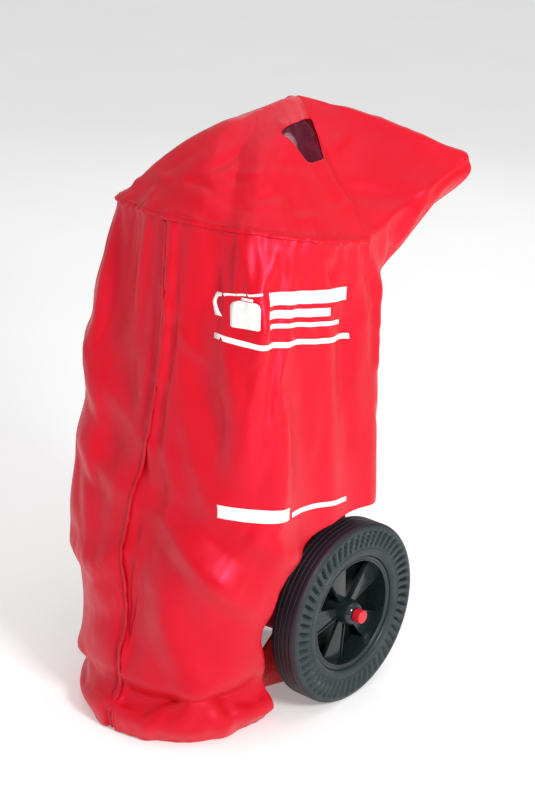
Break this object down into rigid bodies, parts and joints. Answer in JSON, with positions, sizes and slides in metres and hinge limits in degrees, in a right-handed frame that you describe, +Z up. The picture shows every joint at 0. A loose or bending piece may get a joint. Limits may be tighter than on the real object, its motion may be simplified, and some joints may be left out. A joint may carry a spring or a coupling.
{
  "type": "wheeled fire extinguisher",
  "caption": "Cylinder with lever valve and gauge, strapped to a leaning trolley on spoked wheels, under a loose glossy dust cover with a clear window over the gauge.",
  "frame": {"origin": "on the floor, at the centre of the front foot's sole", "axes": "+Z up, +X to the right-hand wheel, +Y from the front foot back to the axle; the cylinder leans back in the Y-Z plane"},
  "size_m": [0.4732, 0.61, 0.93],
  "materials": {
    "cylinder_paint": "gloss enamel",
    "powder": "matt powder",
    "siphon_plastic": "satin",
    "valve_brass": "machined",
    "seal_rubber": "matt",
    "stem_steel": "bright",
    "lever_paint": "satin black",
    "gauge_chrome": "polished",
    "gauge_face": "matt white with a green working band",
    "gauge_pointer": "satin black",
    "gauge_window": "clear",
    "frame_paint": "gloss powder coat",
    "black_plastic": "moulded",
    "grip_rubber": "matt",
    "strap_steel": "zinc plated",
    "cap_plastic": "gloss moulded",
    "rim_plastic": "semi-gloss moulded",
    "tyre_rubber": "matt moulded",
    "cover_pvc": "glossy coated",
    "window_film": "clear flexible film"
  },
  "bodies": {
    "trolley": {"cylinder_shell": "cylinder_paint", "cylinder_skirt": "cylinder_paint", "neck_ring": "cylinder_paint", "powder_charge": "powder", "siphon_tube": "siphon_plastic", "valve_body": "valve_brass", "valve_seal": "seal_rubber", "carry_handle": "lever_paint", "lever_pin": "stem_steel", "gauge_case": "gauge_chrome", "gauge_dial": "gauge_face", "gauge_lens": "gauge_window", "hose_outlet": "valve_brass", "relief_valve": "valve_brass", "frame_tube_left": "frame_paint", "frame_tube_right": "frame_paint", "handle_bar": "frame_paint", "bar_end_cap_left": "black_plastic", "bar_end_cap_right": "black_plastic", "grip_left": "grip_rubber", "grip_right": "grip_rubber", "axle_bracket_left": "frame_paint", "axle_bracket_right": "frame_paint", "side_plate_left": "frame_paint", "side_plate_right": "frame_paint", "base_tray": "frame_paint", "crossbar_lower": "frame_paint", "crossbar_upper": "frame_paint", "clamp_strap_lower": "strap_steel", "clamp_strap_upper": "strap_steel", "strap_bolts": "strap_steel", "strap_nuts": "strap_steel", "foot_frame": "frame_paint", "foot_pad": "grip_rubber", "axle": "strap_steel", "axle_spacers": "strap_steel", "axle_washers": "strap_steel", "retaining_clips": "strap_steel", "hub_cap_left": "cap_plastic", "hub_cap_right": "cap_plastic", "valve_spring": "stem_steel"},
    "lever": {"operating_lever": "lever_paint"},
    "stem": {"valve_stem": "stem_steel"},
    "pull_pin": {"safety_pin": "stem_steel"},
    "needle": {"gauge_needle": "gauge_pointer"},
    "wheel_left": {"rim_left": "rim_plastic", "tyre_left": "tyre_rubber", "wheel_bush_left": "black_plastic"},
    "wheel_right": {"rim_right": "rim_plastic", "tyre_right": "tyre_rubber", "wheel_bush_right": "black_plastic"},
    "cover": {"cover_left_panel": "cover_pvc", "cover_right_panel": "cover_pvc", "cover_top_panel": "cover_pvc", "cover_window": "window_film"}
  },
  "joints": [
    {"name": "wheel_left_spin", "type": "hinge", "parent": "trolley", "child": "wheel_left", "pos_m": [-0.195, 0.268, 0.15], "axis": [1, 0, 0], "continuous": true},
    {"name": "wheel_right_spin", "type": "hinge", "parent": "trolley", "child": "wheel_right", "pos_m": [0.195, 0.268, 0.15], "axis": [1, 0, 0], "continuous": true},
    {"name": "cover_lift", "type": "slide", "parent": "trolley", "child": "cover", "axis": [0, 0, 1], "range_m": [0, 1], "deforming": ["cover_left_panel", "cover_right_panel", "cover_top_panel", "cover_window"]},
    {"name": "lever_squeeze", "type": "hinge", "parent": "trolley", "child": "lever", "pos_m": [0, 0.27324, 0.9062], "axis": [-1, 0, 0], "range_deg": [0, 12], "stiffness_Nm_per_rad": 2, "springref_deg": -11.46},
    {"name": "stem_slide", "type": "slide", "parent": "trolley", "child": "stem", "axis": [0, -0.225, -0.9744], "range_m": [0, 0.0035], "deforming": ["valve_spring"]},
    {"name": "safety_pin_pull", "type": "slide", "parent": "trolley", "child": "pull_pin", "axis": [1, 0, 0], "range_m": [0, 0.03]},
    {"name": "gauge_sweep", "type": "hinge", "parent": "trolley", "child": "needle", "pos_m": [0.05529, 0.28286, 0.88118], "axis": [0.9063, 0.0951, 0.4118], "range_deg": [-100, 60], "stiffness_Nm_per_rad": 0.001}
  ],
  "couplings": [
    {"joint": "stem_slide", "follows": "lever_squeeze", "m_per_rad": 0.015}
  ]
}
